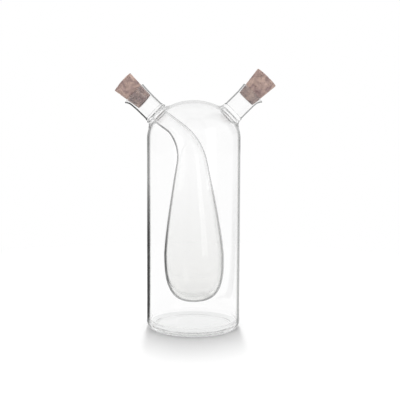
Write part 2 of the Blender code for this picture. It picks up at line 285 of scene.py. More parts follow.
class Finishes(bpy.types.PropertyGroup):
    """Colours of the glass, with the painted shade on its edges and towards the flask's bottom, the corks
    and the floor.
    """

    glass: colour("Glass", "Tint of the clear glass", "fefefe")
    # Painted shade: the flask's glass is painted greyer towards its bottom.
    flask: colour("Flask", "Tint of the flask's glass at its thick bottom", "ececea")
    heel: colour("Heel", "Tint of the thick glass round the base", "e2e4e3")
    # Painted shade: grey mixed into the glass where it is seen edge on, for the darker surroundings that
    # its walls bend in.
    glass_edge_shade: colour("Glass, edge on", "Grey of the glass where it is seen edge on", "464847")
    cork_light: colour("Cork, light", "Sound cork between the pores", "c0a69b")
    cork_dark: colour("Cork, dark", "Denser, greyer growth", "927c7a")
    cork_pore: colour("Cork, pores", "Bark dust in pores and cracks", "6e5a55")
    floor: colour("Floor", "Matt white table top", "f4f4f4")


class StudioSizes(bpy.types.PropertyGroup):
    """Where the camera stands and how the studio is lit."""

    distance: length("Distance", "Camera to the bottle's axis, level", 0.560)
    eye_height: length("Eye height", "Camera above the table", 0.145)
    down: angle("Down", "Tilt of the camera below level", 4.2)
    roll: angle("Roll", "Turn of the camera about its line of sight", 0.19)
    back_strip: power("Back strip", "Power of the long lamp above and behind the bottle", 70.0)
    front_panel: power("Front panel", "Power of the lamp beside the camera", 6.0)
    side_strip: power("Side strip", "Power of the weak lamp at the right", 0.40)


def sizes():
    """The sizes of the body, the necks and the flask."""
    scene = bpy.context.scene
    return scene.bottle_body, scene.bottle_necks, scene.bottle_flask


def looks():
    return bpy.context.scene.bottle_finishes


# Helpers for nodes


def in_use(sockets, name=None):
    """The first socket that its node has in use, of this name if one is given."""
    return next(socket for socket in sockets if socket.enabled and name in (None, socket.name))


def add_node(tree, kind, inputs=None, **settings):
    """A new node with its settings. Inputs are given by name, or by number where a name repeats, and
    each one is a value, or the node or the output that feeds it."""
    node = tree.nodes.new(kind)
    for name, value in settings.items():
        setattr(node, name, value)
    for key, source in (inputs or {}).items():
        entry = node.inputs[key] if isinstance(key, int) else in_use(node.inputs, key)
        if isinstance(source, bpy.types.Node):
            source = in_use(source.outputs)
        if isinstance(source, bpy.types.NodeSocket):
            tree.links.new(source, entry)
        else:
            entry.default_value = source
    return node


def material(name, make_surface, *values):
    """The material of this name. The first time, make_surface adds its nodes and returns the last."""
    known = bpy.data.materials.get(name)
    if known is not None:
        return known
    new = bpy.data.materials.new(name)
    new.use_nodes = True
    new.node_tree.nodes.clear()
    surface = make_surface(new.node_tree, *values)
    add_node(new.node_tree, "ShaderNodeOutputMaterial", {"Surface": surface})
    return new


def new_tree(name, sockets):
    """A Geometry Nodes tree with inputs from names and types, and the node that gives them."""
    tree = bpy.data.node_groups.new(name, "GeometryNodeTree")
    for label, kind in sockets.items():
        tree.interface.new_socket(label, in_out="INPUT", socket_type="NodeSocket" + kind)
    tree.interface.new_socket("Finished", in_out="OUTPUT", socket_type="NodeSocketGeometry")
    return tree, add_node(tree, "NodeGroupInput")


def end_tree(tree, given, shape):
    """Ends a tree in real geometry that wears the given material."""
    real = add_node(tree, "GeometryNodeRealizeInstances", {"Geometry": shape})
    dressed = add_node(
        tree, "GeometryNodeSetMaterial", {"Geometry": real, "Material": given.outputs["Material"]}
    )
    add_node(tree, "NodeGroupOutput", {"Finished": dressed})
    return tree


# Helpers for meshes


def link_mesh(name, mesh):
    obj = bpy.data.objects.new(name, mesh)
    bpy.context.scene.collection.objects.link(obj)
    return obj


def finished_mesh(obj):
    """The object's mesh with its modifiers applied, as a new plain mesh. The object is removed."""
    bpy.context.view_layer.update()
    evaluated = obj.evaluated_get(bpy.context.evaluated_depsgraph_get())
    mesh = bpy.data.meshes.new_from_object(evaluated)
    bpy.data.objects.remove(obj)
    return mesh


def through_tree(mesh, name, make_tree, inputs):
    """The mesh after a Geometry Nodes tree, which make_tree makes the first time."""
    obj = link_mesh(mesh.name, mesh)
    modifier = obj.modifiers.new(name, "NODES")
    modifier.node_group = bpy.data.node_groups.get(name) or make_tree(name)
    for socket in modifier.node_group.interface.items_tree:
        if socket.in_out == "INPUT" and socket.name in inputs:
            modifier[socket.identifier] = inputs[socket.name]
    return finished_mesh(obj)


def combine(start, steps):
    """A new mesh from start and a row of (operation, mesh) Booleans, with doubled points welded."""
    obj = link_mesh(start.name, start)
    tools = []
    for operation, mesh in steps:
        tools.append(link_mesh(mesh.name, mesh))
        modifier = obj.modifiers.new(mesh.name, "BOOLEAN")
        modifier.operation = operation
        modifier.solver = "EXACT"
        modifier.material_mode = "TRANSFER"
        modifier.object = tools[-1]
    weld = obj.modifiers.new("weld", "WELD")
    weld.merge_threshold = WELD_DISTANCE
    result = finished_mesh(obj)
    for tool in tools:
        bpy.data.objects.remove(tool)
    return result


def place(name, mesh, node, body):
    """Shows a finished mesh as a piece that rides on its body and stands for its CAD node."""
    mesh.name = name
    mesh.shade_smooth()
    mesh.set_sharp_from_angle(angle=CREASE_ANGLE)
    obj = link_mesh(name, mesh)
    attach(obj, body)
    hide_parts(node)


def spread(start, end, steps):
    """Evenly spaced values from start to end, both included."""
    return [start + (end - start) * i / steps for i in range(steps + 1)]


def arc(centre, radii, start, end, steps):
    """Points of an ellipse's arc about its (radius, height) centre, between two angles in degrees."""
    points = []
    for degrees in spread(start, end, steps):
        turn = math.radians(degrees)
        points.append((centre[0] + radii[0] * math.cos(turn), centre[1] + radii[1] * math.sin(turn)))
    return points


def turned(name, profile, sides, matrix=None, closed=False, coats=()):
    """A solid turned about Z from (radius, height) points that run from the top down the outer side.

    Coats are (number of the first row, material) pairs, in order, for the rows between the points.
    """
    cage = bmesh.new()
    turns = spread(0.0, 2 * math.pi, sides)[:-1]
    rings = []
    for radius, height in profile:
        if radius < WELD_DISTANCE:
            spots = [(0.0, 0.0, height)]
        else:
            spots = [(radius * math.cos(turn), radius * math.sin(turn), height) for turn in turns]
        rings.append([cage.verts.new(spot) for spot in spots])
    pairs = list(zip(rings, rings[1:]))
    if closed:
        pairs.append((rings[-1], rings[0]))
    for row, (upper, lower) in enumerate(pairs):
        coat = sum(1 for first_row, _ in coats if first_row <= row) - 1
        for i in range(sides):
            # A pole is a ring of one point, so a face that touches it has three corners.
            ways = ((upper, i), (lower, i), (lower, i + 1), (upper, i + 1))
            corners = dict.fromkeys(ring[step % len(ring)] for ring, step in ways)
            if len(corners) > 2:
                cage.faces.new(list(corners)).material_index = max(coat, 0)
    bmesh.ops.recalc_face_normals(cage, faces=cage.faces)
    mesh = bpy.data.meshes.new(name)
    for _, coat_material in coats:
        mesh.materials.append(coat_material)
    cage.to_mesh(mesh)
    cage.free()
    if matrix is not None:
        mesh.transform(matrix)
    return mesh


# Shapes of the body and its ports


def port_lean(spout):
    return getattr(bpy.context.scene.bottle_necks, spout + "_lean")


def port_point(lean):
    """Where the dome faces this lean from upright, as (radius, height)."""
    body, _, _ = sizes()
    across = body.diameter / 2 * math.sin(lean)
    along = body.dome_rise * math.cos(lean)
    scale = math.hypot(across, along)
    spring = body.height - body.dome_rise
    return body.diameter / 2 * across / scale, spring + body.dome_rise * along / scale


def port_matrix(spout):
    """Frame of a port on the dome: +Z runs out along the port, and +X is its lower side."""
    lean = port_lean(spout)
    radius, height = port_point(lean)
    side = 0.0 if spout == "oil" else math.pi
    return (
        Matrix.Rotation(side, 4, "Z")
        @ Matrix.Translation((radius, 0.0, height))
        @ Matrix.Rotation(lean, 4, "Y")
    )


def dome_drop(lean, radius):
    """How far the dome falls away below a port's point, at this distance from the port's axis."""
    roundness = port_point(lean)[0] / math.sin(lean)
    return roundness - math.sqrt(roundness**2 - radius**2)


def neck_bore_radius():
    _, necks, _ = sizes()
    return necks.diameter / 2 - necks.wall


def stem_port_radius():
    """Bore of the vinegar port: the stem leans further than its port, so it drifts across the bore."""
    body, necks, flask = sizes()
    drift = (necks.seal_height + 2 * body.wall) * math.tan(abs(flask.stem_lean - necks.vinegar_lean))
    return flask.stem_diameter / 2 + FIT_GAP + drift


def vessel_profile(radius, floor, rise, heel):
    """Half section of a domed cylinder, from its crown to the middle of its floor."""
    body, _, _ = sizes()
    spring = body.height - body.dome_rise
    dome = arc((0.0, spring), (radius, rise), 90, 0, DOME_STEPS)[1:]
    wall = [(radius, height) for height in spread(spring, floor + heel, WALL_STEPS)[1:-1]]
    corner = arc((radius - heel, floor + heel), (heel, heel), 0, -90, HEEL_STEPS)
    disc = [(reach, floor) for reach in spread(radius - heel, 0.0, BASE_STEPS)[1:]]
    return [(0.0, spring + rise)] + dome + wall + corner + disc


def collar(spout):
    """The short tube drawn up from the dome, with a fillet at its foot."""
    body, necks, flask = sizes()
    radius = necks.diameter / 2 + necks.seal_bead
    top = necks.seal_height - FIT_GAP
    if spout == "vinegar":
        radius = stem_port_radius() + body.collar_wall
        top -= FIT_GAP + flask.ring_thickness
    fillet = body.collar_fillet
    foot_radius = radius + fillet * (1 - math.cos(COLLAR_SWEEP))
    foot = -dome_drop(port_lean(spout), foot_radius) - COLLAR_SINK
    centre = (radius + fillet, foot + fillet * math.sin(COLLAR_SWEEP))
    bend = arc(centre, (fillet, fillet), 180, 180 + math.degrees(COLLAR_SWEEP), FILLET_STEPS)
    shoulder = radius
    if top <= centre[1]:
        shoulder = centre[0] - math.sqrt(fillet**2 - (centre[1] - top) ** 2)
    profile = [(0.0, top), (shoulder, top)] + [point for point in bend if point[1] < top - COLLAR_SINK]
    root = foot - body.wall / 2
    profile += [(bend[-1][0], root), (0.0, root)]
    coats = [(0, seam_glass()), (1, body_glass())]
    return turned(spout + "_collar", profile, NECK_SIDES, port_matrix(spout), coats=coats)


def bore(spout):
    """The cutter that opens a port through the dome."""
    body, necks, _ = sizes()
    radius = neck_bore_radius() if spout == "oil" else stem_port_radius()
    top = necks.seal_height + CUT_MARGIN
    bottom = -body.wall - dome_drop(port_lean(spout), radius) - CUT_MARGIN
    profile = [(0.0, top), (radius, top), (radius, bottom), (0.0, bottom)]
    return turned(spout + "_bore", profile, NECK_SIDES, port_matrix(spout), coats=[(0, bore_glass())])


# Shapes of the flask


def flask_route():
    """The flask's centreline, as a function from distance to a point, and its length."""
    body, necks, flask = sizes()
    radius, height = port_point(necks.vinegar_lean)
    ring_top = necks.seal_height - FIT_GAP
    radius += ring_top * math.sin(necks.vinegar_lean)
    height += ring_top * math.cos(necks.vinegar_lean)
    bottom = Vector((flask.offset, 0.0, body.base + flask.clearance))
    whole = Vector((-radius, 0.0, height)) - bottom
    rise = Vector((-math.sin(flask.lean), 0.0, math.cos(flask.lean)))
    across = Vector((-math.cos(flask.lean), 0.0, -math.sin(flask.lean)))
    out = Vector((-math.sin(flask.stem_lean), 0.0, math.cos(flask.stem_lean)))
    bend = flask.stem_lean - flask.lean
    beyond_corner = whole.dot(across) / math.sin(bend)
    before_corner = whole.dot(rise) - beyond_corner * math.cos(bend)
    trim = flask.bend_radius * math.tan(bend / 2)
    first = before_corner - trim
    curved = flask.bend_radius * bend

    def point(distance):
        turn = min(max(distance - first, 0.0), curved) / flask.bend_radius
        forward = min(distance, first) + flask.bend_radius * math.sin(turn)
        sideways = flask.bend_radius * (1 - math.cos(turn))
        return bottom + rise * forward + across * sideways + out * max(distance - first - curved, 0.0)

    return point, first + curved + beyond_corner - trim


def flask_rings(whole, inset, bottom):
    """(distance, radius) of rings from the flask's bottom to the end of its even stem, set in by a wall
    and by the thickness of the bottom."""
    _, _, flask = sizes()
    widest = flask.diameter / 2
    stem = flask.stem_diameter / 2
    stem_foot = whole - flask.stem_length
    stem_top = whole - max(flask.flare_length, flask.ring_thickness)
    squareness = 2 / BULB_FULLNESS
    rings = []
    for turn in spread(0.0, math.pi / 2, BULB_STEPS):
        distance = bottom + (flask.bulb_length - bottom) * (1 - math.cos(turn) ** squareness)
        rings.append((distance, (widest - inset) * math.sin(turn) ** squareness))
    for share in spread(0.0, 1.0, TAPER_STEPS)[1:]:
        distance = flask.bulb_length + (stem_foot - flask.bulb_length) * share
        radius = stem + (widest - stem) * (1 - share**TAPER_SWELL) ** TAPER_EASE
        rings.append((distance, radius - inset))
    for distance in spread(stem_foot, stem_top, STEM_STEPS)[1:]:
        rings.append((distance, stem - inset))
    return rings


def flare_rings(whole):
    """Rings where the stem's bore opens like a trumpet to the neck's, and runs on past its end."""
    _, _, flask = sizes()
    narrow = flask.stem_diameter / 2 - flask.wall
    wide = neck_bore_radius()
    rings = []
    for share in spread(0.0, 1.0, FLARE_STEPS)[1:]:
        opening = 1 - math.cos(math.pi / 2 * share)
        rings.append((whole - flask.flare_length * (1 - share), narrow + (wide - narrow) * opening))
    return rings + [(whole + CUT_MARGIN, wide)]


def blown_tree(name):
    """Geometry Nodes that turn a guide line, with a girth at each point, into a closed round solid."""
    tree, given = new_tree(name, {"Guide": "Geometry", "Sides": "Int", "Material": "Material"})
    line = add_node(tree, "GeometryNodeMeshToCurve", {"Mesh": given.outputs["Guide"]})
    girth = add_node(tree, "GeometryNodeInputNamedAttribute", {"Name": "girth"})
    circle = add_node(tree, "GeometryNodeCurvePrimitiveCircle", {"Resolution": given.outputs["Sides"]})
    tube = add_node(
        tree,
        "GeometryNodeCurveToMesh",
        {"Curve": line, "Profile Curve": circle, "Scale": girth, "Fill Caps": True},
    )
    joined = add_node(tree, "GeometryNodeMergeByDistance", {"Geometry": tube, "Distance": WELD_DISTANCE})
    return end_tree(tree, given, joined)


def blown(name, rings, route, glass):
    """A round solid along the route, with its radius read from (distance, radius) rings."""
    guide = bpy.data.meshes.new(name)
    points = [route(distance) for distance, _ in rings]
    guide.from_pydata(points, [(i, i + 1) for i in range(len(points) - 1)], [])
    girth = guide.attributes.new("girth", "FLOAT", "POINT")
    girth.data.foreach_set("value", [radius for _, radius in rings])
    mesh = through_tree(guide, "blown_tube", blown_tree, {"Sides": FLASK_SIDES, "Material": glass})
    cage = bmesh.new()
    cage.from_mesh(mesh)
    bmesh.ops.recalc_face_normals(cage, faces=cage.faces)
    cage.to_mesh(mesh)
    cage.free()
    return mesh


def sealing_ring():
    """The round edged ring that closes the vinegar port round the end of the stem."""
    body, necks, flask = sizes()
    half = flask.ring_thickness / 2
    inner = stem_port_radius()
    outer = max(inner + body.collar_wall, necks.diameter / 2) + necks.seal_bead
    top = necks.seal_height - FIT_GAP
    bottom = top - flask.ring_thickness
    rim = arc((outer - half, top - half), (half, half), 90, -90, FILLET_STEPS)
    profile = [(0.0, top)] + rim + [(inner, bottom), (0.0, bottom)]
    fused, glass = seam_glass(), flask_glass()
    coats = [(0, fused), (1, glass), (len(rim), fused), (len(rim) + 1, glass)]
    return turned("sealing_ring", profile, NECK_SIDES, port_matrix("vinegar"), coats=coats)


# Shapes of the necks and the corks


def cork_fit(spout):
    """(depth, taper, tilt) of a cork in its neck."""
    corks = bpy.context.scene.bottle_corks
    return [getattr(corks, f"{spout}_{size}") for size in ("depth", "taper", "tilt")]


def neck_profile(depth, flare):
    """Closed half section of a neck, down the outside from its round rim and back up the bore, and the
    number of the bore's first point."""
    _, necks, _ = sizes()
    round_rim = necks.wall / 2

    def bore_at(down):
        cone = max(1 - down / depth, 0.0)
        roll = max(1 - down / necks.roll_length, 0.0)
        return neck_bore_radius() + flare * cone + necks.roll * roll**2

    bead_top = necks.reach - necks.seal_height - necks.bead_length
    shares = spread(0.0, 1.0, NECK_STEPS)
    downs = [round_rim + (bead_top - round_rim) * share**RIM_CROWDING for share in shares]
    inside = [(bore_at(down), necks.reach - down) for down in downs]
    outside = [(radius + necks.wall, height) for radius, height in inside]
    bead = (necks.seal_bead, necks.bead_length)
    foot = arc((necks.diameter / 2, necks.seal_height), bead, BEAD_START, 0, BEAD_STEPS)
    rim_centre = (bore_at(round_rim) + round_rim, necks.reach - round_rim)
    rim = arc(rim_centre, (round_rim, round_rim), 180, 0, RIM_STEPS)[1:-1]
    outer = rim + outside + foot
    return outer + [(neck_bore_radius(), necks.seal_height)] + inside[::-1], len(outer)


def pull_lip(mesh):
    """Draws the rim out on its +X side into a pouring lip, as a glassblower does while it is soft."""
    _, necks, _ = sizes()
    for vertex in mesh.vertices:
        rise = (vertex.co.z - necks.reach + necks.lip_depth) / necks.lip_depth
        turn = abs(math.atan2(vertex.co.y, vertex.co.x))
        if rise > 0 and turn < LIP_SPREAD:
            share = (1 + math.cos(math.pi * turn / LIP_SPREAD)) / 2
            vertex.co.x += necks.lip_reach * share * rise**LIP_CURL


def cork_profile(end_radius, taper, depth):
    """Half section of a tapered cork with worn edges, from the middle of its top to its inner end."""
    corks = bpy.context.scene.bottle_corks
    worn = corks.chamfer
    top, bottom = corks.length - depth, -depth
    top_disc = end_radius + corks.length * math.tan(taper) - worn
    end_disc = end_radius - worn
    above = [(radius, top) for radius in spread(0.0, top_disc, CORK_TOP_STEPS)[:-1]]
    upper = arc((top_disc, top - worn), (worn, worn), 90, 0, CORK_EDGE_STEPS)
    heights = spread(top - worn, bottom + worn, CORK_STEPS)[1:-1]
    side = [(end_radius + (height - bottom) * math.tan(taper), height) for height in heights]
    lower = arc((end_disc, bottom + worn), (worn, worn), 0, -90, CORK_EDGE_STEPS)
    below = [(radius, bottom) for radius in spread(end_disc, 0.0, CORK_END_STEPS)[1:]]
    return above + upper + side + lower + below


def pores_in(tree, bark):
    """The noise that is high in a cork's pores, for its surface and for its colour."""
    squeeze = (1.0, 1.0, PORE_LENGTH / PORE_HEIGHT)
    squeezed = add_node(tree, "ShaderNodeVectorMath", {0: bark, 1: squeeze}, operation="MULTIPLY")
    return add_node(
        tree,
        "ShaderNodeTexNoise",
        {"Vector": squeezed, "Scale": 1 / PORE_LENGTH, "Detail": 3.0, "Roughness": 0.65},
    )


def pitted_tree(name):
    """Geometry Nodes that sink pores into a cork's surface, along its normals."""
    tree, given = new_tree(name, {"Cork": "Geometry", "Pit Depth": "Float", "Material": "Material"})
    bark = add_node(
        tree, "GeometryNodeInputNamedAttribute", {"Name": "cork_place"}, data_type="FLOAT_VECTOR"
    )
    pores = pores_in(tree, bark)
    sunk = add_node(
        tree, "ShaderNodeMapRange", {"Value": pores, "From Min": 0.55, "From Max": 0.72, "To Max": -1.0}
    )
    deep = add_node(tree, "ShaderNodeMath", {0: sunk, 1: given.outputs["Pit Depth"]}, operation="MULTIPLY")
    normal = add_node(tree, "GeometryNodeInputNormal")
    move = add_node(tree, "ShaderNodeVectorMath", {"Vector": normal, "Scale": deep}, operation="SCALE")
    moved = add_node(tree, "GeometryNodeSetPosition", {"Geometry": given.outputs["Cork"], "Offset": move})
    return end_tree(tree, given, moved)


# Materials


def clear_glass(tree, tint):
    """Borosilicate glass, blown and flame polished: colourless, hard and bright, with the faint
    waviness that drawing the tube leaves. Rays towards lamps pass with a little loss at each wall, and
    more where they graze it, so that the glass throws the soft edged shadow of a thin vessel."""
    spot = add_node(tree, "ShaderNodeTexCoord")
    stretched = add_node(
        tree,
        "ShaderNodeMapping",
        {"Vector": spot.outputs["Object"], "Scale": (1 / WAVE_WIDTH, 1 / WAVE_WIDTH, 1 / WAVE_LENGTH)},
    )
    waves = add_node(
        tree, "ShaderNodeTexNoise", {"Vector": stretched, "Scale": 1.0, "Detail": 1.0, "Roughness": 0.4}
    )
    wavy = add_node(tree, "ShaderNodeBump", {"Height": waves, "Strength": 0.25, "Distance": WAVE_HEIGHT})
    glass = add_node(
        tree,
        "ShaderNodeBsdfPrincipled",
        {"Base Color": tint, "Normal": wavy, "Roughness": 0.0, "IOR": 1.47, "Transmission Weight": 1.0},
    )
    grazing = add_node(tree, "ShaderNodeLayerWeight", {"Blend": 0.35})
    veil = add_node(
        tree,
        "ShaderNodeMapRange",
        {"Value": grazing.outputs["Facing"], "To Min": 1.0 - VEIL_FACING, "To Max": 1.0 - VEIL_GRAZING},
    )
    shadow = add_node(tree, "ShaderNodeBsdfTransparent", {"Color": veil})
    path = add_node(tree, "ShaderNodeLightPath")
    return add_node(
        tree, "ShaderNodeMixShader", {"Fac": path.outputs["Is Shadow Ray"], 1: glass, 2: shadow}
    )


def tube_glass(tree, radius, wall, foot, top):
    """The same glass as a tube. Where a line of sight misses the bore it runs all the way inside the
    wall, and there the glass is painted grey: a painted shade for the darker surroundings that the wall
    bends in.

    Foot and top are (height, tint, share of the edge's painted shade), with an even change between them.
    """
    spot = add_node(tree, "ShaderNodeTexCoord")
    parts = add_node(tree, "ShaderNodeSeparateXYZ", {"Vector": spot.outputs["Object"]})
    rise = add_node(
        tree, "ShaderNodeMapRange", {"Value": parts.outputs["Z"], "From Min": foot[0], "From Max": top[0]}
    )
    tint_and_painted_shade = add_node(
        tree, "ShaderNodeMix", {"Factor": rise, "A": foot[1], "B": top[1]}, data_type="RGBA"
    )
    edge_shade_share = add_node(tree, "ShaderNodeMix", {"Factor": rise, "A": foot[2], "B": top[2]})
    facing = add_node(tree, "ShaderNodeLayerWeight", {"Blend": 0.5})
    misses_bore = 1 - math.sqrt(1 - (1 - wall / radius) ** 2)
    # Painted shade: grey mixed into the glass's colour where it is seen edge on.
    edge_shade_mask = add_node(
        tree,
        "ShaderNodeMapRange",
        {
            "Value": facing.outputs["Facing"],
            "From Min": misses_bore - EDGE_SOFTNESS,
            "From Max": misses_bore + EDGE_SOFTNESS,
            "To Max": edge_shade_share,
        },
        interpolation_type="SMOOTHSTEP",
    )
    edge_shade_colour = looks().glass_edge_shade
    tint = add_node(
        tree, "ShaderNodeMix", {"Factor": edge_shade_mask, "A": tint_and_painted_shade, "B": edge_shade_colour}, data_type="RGBA"
    )
    return clear_glass(tree, tint)


def flame_worked(piece, *values):
    """One piece's own tube glass with its painted edge shade, from its radius, its wall, its foot and its
    top.
    """
    return material(piece + "_flame_worked_borosilicate", tube_glass, *values)


def body_glass():
    body, _, _ = sizes()
    foot = (body.height - body.dome_rise, looks().glass, 1.0)
    top = (body.height, looks().glass, CROWN_EDGE_SHADE_SHARE)
    return flame_worked("body", body.diameter / 2, body.wall, foot, top)


def flask_glass():
    body, _, flask = sizes()
    bottom = body.base + flask.clearance
    mean_radius = (flask.diameter + flask.stem_diameter) / 4
    # Painted shade: the flask's glass fades from grey at its bottom to clear higher up.
    foot = (bottom, looks().flask, 1.0)
    top = (bottom + FLASK_SHADE_RISE, looks().glass, STEM_EDGE_SHADE_SHARE)
    return flame_worked("flask", mean_radius, flask.wall, foot, top)


def neck_glass():
    body, necks, _ = sizes()
    foot = (0.0, looks().glass, 1.0)
    top = (body.height, looks().glass, 1.0)
    return flame_worked("neck", necks.diameter / 2, necks.wall, foot, top)


def bore_glass():
    """The same glass on inner faces, which get no painted edge shade."""
    return material("borosilicate_inner_face", clear_glass, looks().glass)


def heel_glass():
    """The same glass round the base, where it is thick enough to show a little grey."""
    return material("borosilicate_heel", clear_glass, looks().heel)


def seam_glass():
    """The face where two pieces of glass are fused, which light passes as if nothing were there."""
    return material("fused_borosilicate_seam", lambda tree: add_node(tree, "ShaderNodeBsdfTransparent"))


def cork_surface(tree):
    """Natural cork, punched from bark and ground to a taper: matt and dry, pinkish tan where it is
    sound and mauve grey where it grew dense, with dark pores and short cracks across the axis."""
    bark = add_node(tree, "ShaderNodeAttribute", attribute_name="cork_place").outputs["Vector"]
    drift = add_node(
        tree,
        "ShaderNodeTexNoise",
        {"Vector": bark, "Scale": 1 / BARK_DRIFT, "Detail": 1.0, "Distortion": 0.6},
    )
    hue = add_node(tree, "ShaderNodeMapRange", {"Value": drift, "From Min": 0.36, "From Max": 0.62})
    ground = add_node(
        tree,
        "ShaderNodeMix",
        {"Factor": hue, "A": looks().cork_dark, "B": looks().cork_light},
        data_type="RGBA",
    )
    growth = add_node(
        tree,
        "ShaderNodeTexNoise",
        {"Vector": bark, "Scale": 1 / BARK_GROWTH, "Detail": 3.0, "Roughness": 0.6},
    )
    shade = add_node(
        tree,
        "ShaderNodeMapRange",
        {"Value": growth, "From Min": 0.30, "From Max": 0.70, "To Min": 0.78, "To Max": 1.20},
    )
    grainy = add_node(tree, "ShaderNodeVectorMath", {"Vector": ground, "Scale": shade}, operation="SCALE")
    pores = pores_in(tree, bark)
    dark = add_node(
        tree, "ShaderNodeMapRange", {"Value": pores, "From Min": 0.58, "From Max": 0.72, "To Max": 0.75}
    )
    painted = add_node(
        tree, "ShaderNodeMix", {"Factor": dark, "A": grainy, "B": looks().cork_pore}, data_type="RGBA"
    )
    height = add_node(tree, "ShaderNodeMath", {0: growth, 1: dark}, operation="SUBTRACT")
    rough = add_node(tree, "ShaderNodeBump", {"Height": height, "Strength": 0.6, "Distance": CORK_GRAIN})
    return add_node(
        tree, "ShaderNodeBsdfPrincipled", {"Base Color": painted, "Normal": rough, "Roughness": 0.88}
    )


def light_past_flag(tree, direction, share_behind):
    """The share of light left in a direction by the dark flag behind the bottle at the left, with the
    share left straight behind it given. The flag acts only on light that glass has reflected on its
    way, and so draws dark lines along left edges."""
    away = add_node(tree, "ShaderNodeVectorMath", {"Vector": direction}, operation="NORMALIZE")
    bearing = (math.sin(FLAG_BEARING), math.cos(FLAG_BEARING), 0.0)
    towards = add_node(tree, "ShaderNodeVectorMath", {0: away, 1: bearing}, operation="DOT_PRODUCT")
    flag = add_node(
        tree,
        "ShaderNodeMapRange",
        {
            "Value": towards,
            "From Min": math.cos(FLAG_HALF_WIDTH + FLAG_SOFTNESS),
            "From Max": math.cos(FLAG_HALF_WIDTH),
            "To Min": 1.0,
            "To Max": share_behind,
        },
        interpolation_type="SMOOTHSTEP",
    )
    path = add_node(tree, "ShaderNodeLightPath")
    reflected = add_node(
        tree, "ShaderNodeMath", {0: path.outputs["Glossy Depth"], 1: 0.5}, operation="GREATER_THAN"
    )
    return add_node(tree, "ShaderNodeMix", {"Factor": reflected, "A": 1.0, "B": flag})


def floor_surface(tree):
    """Matt white laminate, with a little glow where it is seen. It turns to even white away from the
    bottle, and glass shows it almost evenly white, with a trace of the shadow, and reflects the flag."""
    path = add_node(tree, "ShaderNodeLightPath")
    by_camera, by_glass = path.outputs["Is Camera Ray"], path.outputs["Is Glossy Ray"]
    spot = add_node(tree, "ShaderNodeTexCoord").outputs["Object"]
    matt = add_node(tree, "ShaderNodeBsdfPrincipled", {"Base Color": looks().floor, "Roughness": 0.6})
    seen = add_node(tree, "ShaderNodeMath", {0: by_camera, 1: by_glass}, operation="MAXIMUM")
    lift = add_node(tree, "ShaderNodeMath", {0: seen, 1: FLOOR_GLOW}, operation="MULTIPLY")
    glow = add_node(tree, "ShaderNodeEmission", {"Strength": lift})
    lit = add_node(tree, "ShaderNodeAddShader", {0: matt, 1: glow})
    distance = add_node(tree, "ShaderNodeVectorMath", {"Vector": spot}, operation="LENGTH")
    far = add_node(
        tree,
        "ShaderNodeMapRange",
        {"Value": distance, "From Min": WHITE_START, "From Max": WHITE_END, "To Max": seen},
        interpolation_type="SMOOTHSTEP",
    )
    in_glass = add_node(tree, "ShaderNodeMath", {0: by_glass, 1: EVEN_SHARE}, operation="MULTIPLY")
    share = add_node(tree, "ShaderNodeMath", {0: far, 1: in_glass}, operation="MAXIMUM")
    # The flag is placed as the left wall reflects it, so its bearing counts from that wall.
    wall = (bpy.context.scene.bottle_body.diameter / 2, 0.0, 0.0)
    from_wall = add_node(tree, "ShaderNodeVectorMath", {0: spot, 1: wall}, operation="ADD")
    share_behind = add_node(
        tree,
        "ShaderNodeMapRange",
        {
            "Value": distance,
            "From Min": FLAG_NEAR,
            "From Max": FLAG_FAR,
            "To Min": FLAG_NEAR_SHARE,
            "To Max": FLAG_FAR_SHARE,
        },
    )
    level = light_past_flag(tree, from_wall, share_behind)
    even = add_node(tree, "ShaderNodeEmission", {"Strength": level})
    return add_node(tree, "ShaderNodeMixShader", {"Fac": share, 1: lit, 2: even})


def studio_world():
    """White for the camera and an even fill for matt surfaces. Glass reflects a soft surround that is
    brighter above and has the dark flag in it, and lets through a white one with a dim ceiling."""
    world = bpy.data.worlds.new("studio")
    world.use_nodes = True
    tree = world.node_tree
    tree.nodes.clear()
    path = add_node(tree, "ShaderNodeLightPath")
    way = add_node(tree, "ShaderNodeTexCoord").outputs["Generated"]
    up = add_node(tree, "ShaderNodeSeparateXYZ", {"Vector": way}).outputs["Z"]
    softbox, ceiling = (
        add_node(
            tree,
            "ShaderNodeMapRange",
            {"Value": up, "From Min": start, "From Max": end, "To Min": below, "To Max": above},
            interpolation_type="SMOOTHSTEP",
        )
        for start, end, below, above in (
            (math.sin(SOFTBOX_START), math.sin(SOFTBOX_END), SURROUND_LEVEL, 1.0),
            (math.sin(CEILING_START), math.sin(CEILING_END), 1.0, 1.0 - CEILING_DARKNESS),
        )
    )
    surround = add_node(
        tree, "ShaderNodeMix", {"Factor": path.outputs["Is Transmission Ray"], "A": softbox, "B": ceiling}
    )
    share_behind = add_node(
        tree,
        "ShaderNodeMapRange",
        {"Value": up, "From Max": math.sin(FLAG_TOP), "To Min": FLAG_FAR_SHARE, "To Max": FLAG_TOP_SHARE},
    )
    left = light_past_flag(tree, way, share_behind)
    flagged = add_node(tree, "ShaderNodeMath", {0: surround, 1: left}, operation="MULTIPLY")
    level = add_node(
        tree, "ShaderNodeMix", {"Factor": path.outputs["Is Glossy Ray"], "A": FILL_LEVEL, "B": flagged}
    )
    strength = add_node(
        tree, "ShaderNodeMath", {0: path.outputs["Is Camera Ray"], 1: level}, operation="MAXIMUM"
    )
    light = add_node(tree, "ShaderNodeBackground", {"Color": (1.0, 1.0, 1.0, 1.0), "Strength": strength})
    add_node(tree, "ShaderNodeOutputWorld", {"Surface": light})
    return world


# Operators


